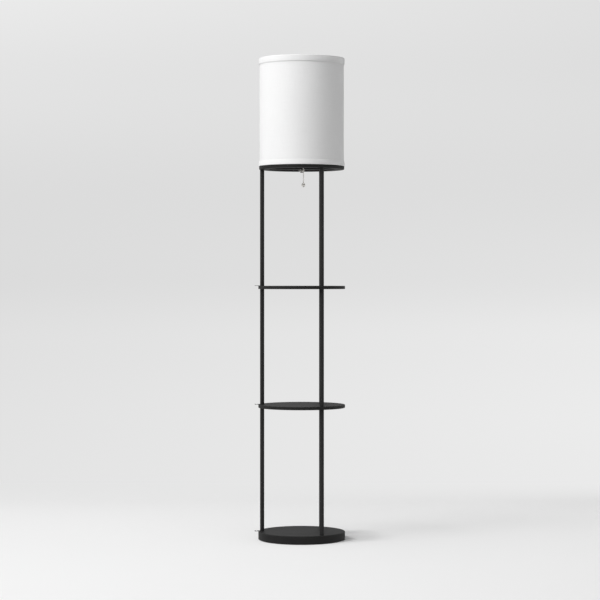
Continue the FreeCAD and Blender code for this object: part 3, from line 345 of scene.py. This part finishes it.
# Where the cloth's laps lie, behind, and in how many steps it goes round.
SEAM = math.radians(96)
AROUND = 240
CLOTH_THICK = 0.0004
# How fast the cloth's wobble changes round the shade and up it.
WOBBLE_ROUND, WOBBLE_UP = 1.7, 5

WALL_ROWS = 40
WALL_LAP = 0.009
WALL_WOBBLE = 0.00022
# How far the middle of the cloth lies inside the CAD's outer face, and its lapped end outside
# the cloth below.
WALL_INSET = 0.00052
WALL_LIFT = 0.00045
# The end starts to rise this many laps before the cloth ends, and is up halfway from there.
RISE_LAPS = 1.6

HEM_LAP = 0.012
# The hems' laps lie this far round from the wall's, in radians.
HEM_SHIFT = 0.02
# The lapped end is lifted from this share of the lap before the first end.
HEM_EARLY = 0.2
# How far the middle of the cloth lies off the CAD's faces, and how far in over the rim it goes.
HEM_STAND_OFF = 0.00045
HEM_REACH = 0.0061
# How far the upper fold stands clear of the stiff edge inside it.
UPPER_FULLNESS = 0.0034
# The ripple of a hem, and where it is taken from the wobble for the lower and the upper one.
HEM_WOBBLE = 0.00035
LOWER_RIPPLE, UPPER_RIPPLE = 3.0, 7.0
# Small puckers in the fold: their height, how many go round, and how unevenly they are spread.
PUCKER, PUCKERS, PUCKER_DRIFT, PUCKER_DRIFTS = 0.00012, 96, 3, 5
# The points of the section that are free to ripple, and what the glued ones keep of it.
FREE_POINTS = range(4, 13)
GLUED_SHARE = 0.25


def wobble(angle, height, size):
    """How far hand-rolled cloth on a frame stands off a true circle."""
    x, y = math.cos(angle) * WOBBLE_ROUND, math.sin(angle) * WOBBLE_ROUND
    return size * noise.noise(Vector((x, y, height * WOBBLE_UP)))


def cloth_strip(name, verts, across, length, flipped=False):
    """Join points into a strip of cloth that goes round, with its flat sizes as UV.

    Across holds the flat place of each point of one step, and length is the strip's own.
    """
    rows = len(across)
    faces = []
    for i in range(AROUND):
        for k in range(rows - 1):
            a = i * rows + k
            quad = (a, a + rows, a + rows + 1, a + 1)
            faces.append(quad[::-1] if flipped else quad)

    def uv(corner):
        step, row = divmod(corner, rows)
        return step / AROUND * length, across[row]

    return mesh_object(name, verts, faces, uv)


def thicken(obj):
    """Give a sheet the thickness of the cloth."""
    thick = obj.modifiers.new("thickness", "SOLIDIFY")
    thick.thickness = CLOTH_THICK
    thick.offset = 0


def shade_wall():
    """One rolled sheet whose ends overlap at a glued seam behind."""
    radius = WALL_OUT - WALL_INSET
    lap = WALL_LAP / WALL_OUT
    turn = FULL_TURN + lap
    verts = []
    for i in range(AROUND + 1):
        part = i / AROUND
        angle = SEAM + turn * part
        rise = (part - 1 + RISE_LAPS * lap / turn) * turn / lap / RISE_LAPS * 2
        lift = WALL_LIFT * max(0.0, min(1.0, rise))
        for j in range(WALL_ROWS + 1):
            z = WALL_LOW + WALL_TALL * j / WALL_ROWS
            free = math.sin(math.pi * j / WALL_ROWS)
            r = radius + lift + wobble(angle, z, WALL_WOBBLE) * free
            verts.append((r * math.cos(angle), r * math.sin(angle), z))
    across = [j / WALL_ROWS * WALL_TALL for j in range(WALL_ROWS + 1)]
    wall = cloth_strip("shade_wall_cloth", verts, across, turn * radius)
    thicken(wall)
    return wall, turn * radius, WALL_TALL


def hem_section(tall, fullness):
    """Radius and height above the rim, from the outer raw edge over the rim to the inner edge."""
    wall = WALL_OUT + HEM_STAND_OFF
    out = HEM_OUT - HEM_STAND_OFF
    lip = HEM_OUT - HEM_REACH
    return [
        # turned under against the wall
        (wall, tall - 0.0042), (wall + 0.0001, tall - 0.0022), (wall + 0.0002, tall - 0.0008),
        # the fold
        (wall + 0.0004, tall - 0.0003), (wall + 0.0009, tall - 0.0022),
        (out - 0.0005, tall - 0.0048), (out - 0.0001, tall - 0.0074),
        # the band that is seen
        (out - 0.0001, tall / 2), (out - 0.0001, 0.0036),
        # round the rim
        (out, 0.0014), (out - 0.0001, 0.0001), (out - 0.0006, -0.0004),
        # in over the edge, and back up inside
        (out - 0.0014, 0.0003), (out - 0.0032, 0.00035), (lip + 0.0012, 0.0004),
        (lip + 0.0002, 0.0006), (lip + 0.0001, fullness + 0.0010),
    ]


def hem_band(name, edge, inward, fullness=0.0):
    """A strip of cloth folded over the shade's edge: both raw edges turned under and glued.

    Edge is the rim's height, inward is 1 where the strip goes up from it and -1 where it goes
    down, and fullness is how far the fold stands clear of the stiff edge inside it.
    """
    edge = edge - inward * fullness
    section = hem_section(HEM_TALL + fullness, fullness)
    across = [0.0]
    for a, b in zip(section, section[1:]):
        across.append(across[-1] + math.dist(a, b))
    out = HEM_OUT - HEM_STAND_OFF
    lap = HEM_LAP / out
    turn = FULL_TURN + lap
    verts = []
    for i in range(AROUND + 1):
        part = i / AROUND
        angle = SEAM + HEM_SHIFT + turn * part
        lift = CLOTH_THICK if part * turn > FULL_TURN - lap * HEM_EARLY else 0.0
        ripple = wobble(angle, LOWER_RIPPLE if inward > 0 else UPPER_RIPPLE, HEM_WOBBLE)
        drift = PUCKER_DRIFT * math.sin(angle * PUCKER_DRIFTS)
        pucker = PUCKER * math.sin(angle * PUCKERS + drift)
        for k, (r, h) in enumerate(section):
            bulge = (ripple + pucker) * math.sin(math.pi * k / (len(section) - 1)) + lift
            r = r + bulge * (1 if k in FREE_POINTS else GLUED_SHARE)
            verts.append((r * math.cos(angle), r * math.sin(angle), edge + inward * h))
    band = cloth_strip(name, verts, across, turn * out, flipped=inward > 0)
    rounded = band.modifiers.new("rounded", "SUBSURF")
    rounded.levels = 1
    rounded.render_levels = 1
    thicken(band)
    return band, turn * out, across[-1]


wall, wall_width, wall_tall = shade_wall()
dress(wall, "shade_fabric")
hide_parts("shade_fabric")
lower, hem_width, hem_flat = hem_band("lower_hem_cloth", SHADE_LOW, 1)
upper, _, upper_flat = hem_band("upper_hem_cloth", SHADE_HIGH, -1, UPPER_FULLNESS)
for band, node_name, across in ((lower, "lower_hem", hem_flat), (upper, "upper_hem", upper_flat)):
    dress(band, "hem_fabric")
    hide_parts(node_name)

# ------------------------------------------------------------------------------------- floor pad
PAD_STEPS = 180
# The pad's section, from its middle below to its middle above: shares of radius and thickness.
PAD_RINGS = [(0.0, 0), (0.3, 0), (0.6, 0), (0.85, 0), (0.97, 0), (0.993, 0.12), (1.0, 0.5),
             (0.993, 0.88), (0.97, 1), (0.85, 1), (0.6, 1), (0.3, 1), (0.0, 1)]
# The fuzz of the edge, the share of the radius beyond which it is, and its place in the noise.
PAD_FUZZ = 0.0004
PAD_FUZZ_FROM = 0.96
FUZZ_ROUND, FUZZ_UP, FUZZ_SEED = 30, 9, 4


def felt_pad():
    """Die-cut felt disc with a slightly fuzzy, rounded edge."""
    low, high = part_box("base_pad")
    radius, tall = high[0], high[2] - low[2]
    mesh = bmesh.new()
    rows = []
    for share, level in PAD_RINGS:
        z = low[2] + tall * level
        if share == 0:
            rows.append([mesh.verts.new((0, 0, z))])
            continue
        row = []
        for i in range(PAD_STEPS):
            angle = FULL_TURN * i / PAD_STEPS
            r = radius * share
            if share > PAD_FUZZ_FROM:
                spot = Vector((angle * FUZZ_ROUND, level * FUZZ_UP, FUZZ_SEED))
                r += PAD_FUZZ * noise.noise(spot) - PAD_FUZZ
            row.append(mesh.verts.new((r * math.cos(angle), r * math.sin(angle), z)))
        rows.append(row)
    for a, b in zip(rows, rows[1:]):
        for i in range(PAD_STEPS):
            j = (i + 1) % PAD_STEPS
            if len(a) == 1:
                mesh.faces.new((a[0], b[j], b[i]))
            elif len(b) == 1:
                mesh.faces.new((a[i], a[j], b[0]))
            else:
                mesh.faces.new((a[i], a[j], b[j], b[i]))
    bmesh.ops.recalc_face_normals(mesh, faces=mesh.faces)
    data = bpy.data.meshes.new("base_felt")
    mesh.to_mesh(data)
    mesh.free()
    return smooth_object("base_felt", data), 2 * radius


pad, pad_width = felt_pad()
dress(pad, "felt")
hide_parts("base_pad")

# ----------------------------------------------------------------------------- floor and backdrop
# The backdrop's tones by height, in shares of WALL_TOP: a glow with painted light and shade,
# darkest halfway up.
WALL_TOP = 2.6
WALL_PAINTED_TONES = [(0.0, 0.80), (0.16, 0.785), (0.32, 0.735), (0.5, 0.722), (0.75, 0.75), (1.0, 0.79)]
# How much lighter they get per metre to the right, up to this share and at WALL_TOP: painted light
# and shade across the backdrop.
WALL_TILT_START = 0.2
WALL_TILT = (0.026, -0.031)
# The stretch of floor behind the lamp over which the backdrop's tones take over.
FADE_START, FADE_END = 0.4, 1.7
# The floor's glow a metre to the left and to the right of the lamp: painted light, lighter on the
# lit left side.
NEAR_PAINTED_TONES = (0.888, 0.858)
# The share of that glow which shows, as painted light over the floor's shadows, and the distances
# from a place in the base's own shadow over which it comes up to that share, so that the shadow
# next to the base stays dark.
NEAR_SHARE = 0.5
NEAR_CENTRE = (0.1, 0.09, 0)
NEAR_START, NEAR_END = 0.09, 0.2

SWEEP_DEPTH, SWEEP_FRONT, SWEEP_HALF_WIDTH, SWEEP_TALL = 6.0, 20.0, 20.0, 9.0
SWEEP_BEND, SWEEP_STEPS = 1.6, 24

# The room's even light, and how bright it is to the camera and to shiny metal.
ROOM_LIGHT = 0.186
ROOM_SEEN = 0.72


def sweep_look():
    """Lit pale paper under a glow of painted light and shade: half near the lamp, all further off.
    """
    m = Look("sweep_look")
    paper = m.noise(scale=2.2, detail=4, rough=0.5)
    m.set(base_color=m.ramp(paper, [(0.3, grey(0.912)), (0.7, grey(0.922))]), roughness=0.9,
          specular_ior_level=0.1)
    place = (m.add("ShaderNodeTexCoord"), "Object")
    split = m.add("ShaderNodeSeparateXYZ", {"Vector": place})
    # The backdrop's tone: painted light and shade by height and to the right.
    climb = m.remap((split, "Z"), from_max=WALL_TOP)
    tones = m.ramp(climb, [(at, grey(level)) for at, level in WALL_PAINTED_TONES], interpolation="EASE")
    tilt = m.remap(climb, from_min=WALL_TILT_START, to_min=WALL_TILT[0], to_max=WALL_TILT[1])
    lean = m.add("ShaderNodeMath", {0: (split, "X"), 1: tilt, 2: 1.0}, operation="MULTIPLY_ADD")
    leaning = m.add("ShaderNodeVectorMath", {"Vector": tones, "Scale": (lean, "Value")},
                    operation="SCALE")
    # The floor's tone, with painted light lighter on the left, and how the one goes over into the
    # other.
    across = m.remap((split, "X"), from_min=-1.0, to_min=NEAR_PAINTED_TONES[0], to_max=NEAR_PAINTED_TONES[1])
    far = m.remap((split, "Y"), smooth=True, from_min=FADE_START, from_max=FADE_END)
    blended = m.add("ShaderNodeMix", {0: far, 6: across, 7: (leaning, "Vector")},
                    data_type="RGBA")
    glow = m.add("ShaderNodeEmission", {"Color": (blended, 2)})
    # How much of it the camera, metal and glass see in place of the lit paper: a glow that paints
    # light over the floor's shadows.
    away = m.add("ShaderNodeVectorMath", {0: place, 1: NEAR_CENTRE}, operation="DISTANCE")
    near = m.remap((away, "Value"), smooth=True, from_min=NEAR_START, from_max=NEAR_END,
                   to_max=NEAR_SHARE)
    painted_share = m.add("ShaderNodeMath", {0: near, 1: far}, operation="MAXIMUM")
    seen = m.rays("Is Camera Ray", "Is Glossy Ray", "Is Transmission Ray")
    share = m.add("ShaderNodeMath", {0: (painted_share, "Value"), 1: seen}, operation="MULTIPLY")
    mixed = m.add("ShaderNodeMixShader",
                  {"Fac": (share, "Value"), 1: (m.shader, "BSDF"), 2: (glow, "Emission")})
    m.feed(m.out, {"Surface": (mixed, "Shader")})
    return m.material


def backdrop():
    """One pale sweep: floor, a wide curve and a wall."""
    bend_start = SWEEP_DEPTH - SWEEP_BEND
    profile = [(-SWEEP_FRONT, 0.0), (bend_start, 0.0)]
    for step in range(1, SWEEP_STEPS):
        angle = math.radians(90 * step / SWEEP_STEPS)
        profile.append((bend_start + SWEEP_BEND * math.sin(angle),
                        SWEEP_BEND - SWEEP_BEND * math.cos(angle)))
    profile += [(SWEEP_DEPTH, SWEEP_BEND), (SWEEP_DEPTH, SWEEP_TALL)]
    verts = [(x, y, z) for y, z in profile for x in (-SWEEP_HALF_WIDTH, SWEEP_HALF_WIDTH)]
    faces = [(a, a + 1, a + 3, a + 2) for a in range(0, 2 * len(profile) - 2, 2)]
    obj = mesh_object("sweep", verts, faces)
    obj.data.materials.append(sweep_look())
    return obj


backdrop()


def room():
    """Dim even light from the room, which the camera and shiny metal see as pale walls."""
    world = bpy.data.worlds.new("studio")
    bpy.context.scene.world = world
    g = Graph(world)
    light, pale = (
        (g.add("ShaderNodeBackground", {"Color": (1, 1, 1, 1), "Strength": level}), "Background")
        for level in (ROOM_LIGHT, ROOM_SEEN))
    seen = g.rays("Is Camera Ray", "Is Glossy Ray")
    mixed = g.add("ShaderNodeMixShader", {"Fac": seen, 1: light, 2: pale})
    g.add("ShaderNodeOutputWorld", {"Surface": (mixed, "Shader")})


def softbox(name, place, target, size, watts):
    """A soft area lamp aimed at a point."""
    data = bpy.data.lights.new(name, "AREA")
    data.shape = "RECTANGLE"
    data.size, data.size_y = size
    data.energy = watts
    obj = bpy.data.objects.new(name, data)
    obj.location = place
    aim = Vector(target) - Vector(place)
    obj.rotation_euler = aim.to_track_quat("-Z", "Y").to_euler()
    bpy.context.collection.objects.link(obj)


room()
softbox("key", place=(-4.54, -3.55, 4.42), target=(0, 0, 0.6), size=(2.8, 2.8), watts=252)
softbox("top", place=(-0.7, -0.7, 4.1), target=(0, 0, 0), size=(2.4, 2.4), watts=73)
softbox("fill", place=(4.6, 0.6, 1.5), target=(0, 0, 0.9), size=(3.0, 2.4), watts=29)

# ---------------------------------------------------------------------------------------- camera
# The camera looks level at the lamp's axis; rows and columns are the picture's.
PICTURE_PX = 600
MM_PER_PX = 3.02
FOCAL_PX = 2020.0
HORIZON_ROW = 279.0
AXIS_COLUMN = 301.7
FLOOR_ROW = 539.5
SENSOR_MM = 36.0

camera_data = bpy.data.cameras.new("camera")
camera_data.sensor_width = SENSOR_MM
camera_data.lens = SENSOR_MM * FOCAL_PX / PICTURE_PX
camera_data.shift_x = -(AXIS_COLUMN - PICTURE_PX / 2) / PICTURE_PX
camera_data.shift_y = -(PICTURE_PX / 2 - HORIZON_ROW) / PICTURE_PX
camera_data.clip_end = 100
camera = bpy.data.objects.new("camera", camera_data)
camera.location = (0.0, -FOCAL_PX * MM_PER_PX / 1000, (FLOOR_ROW - HORIZON_ROW) * MM_PER_PX / 1000)
camera.rotation_euler = (math.radians(90), 0, 0)
bpy.context.collection.objects.link(camera)
bpy.context.scene.camera = camera
bpy.context.scene.view_settings.view_transform = "Standard"
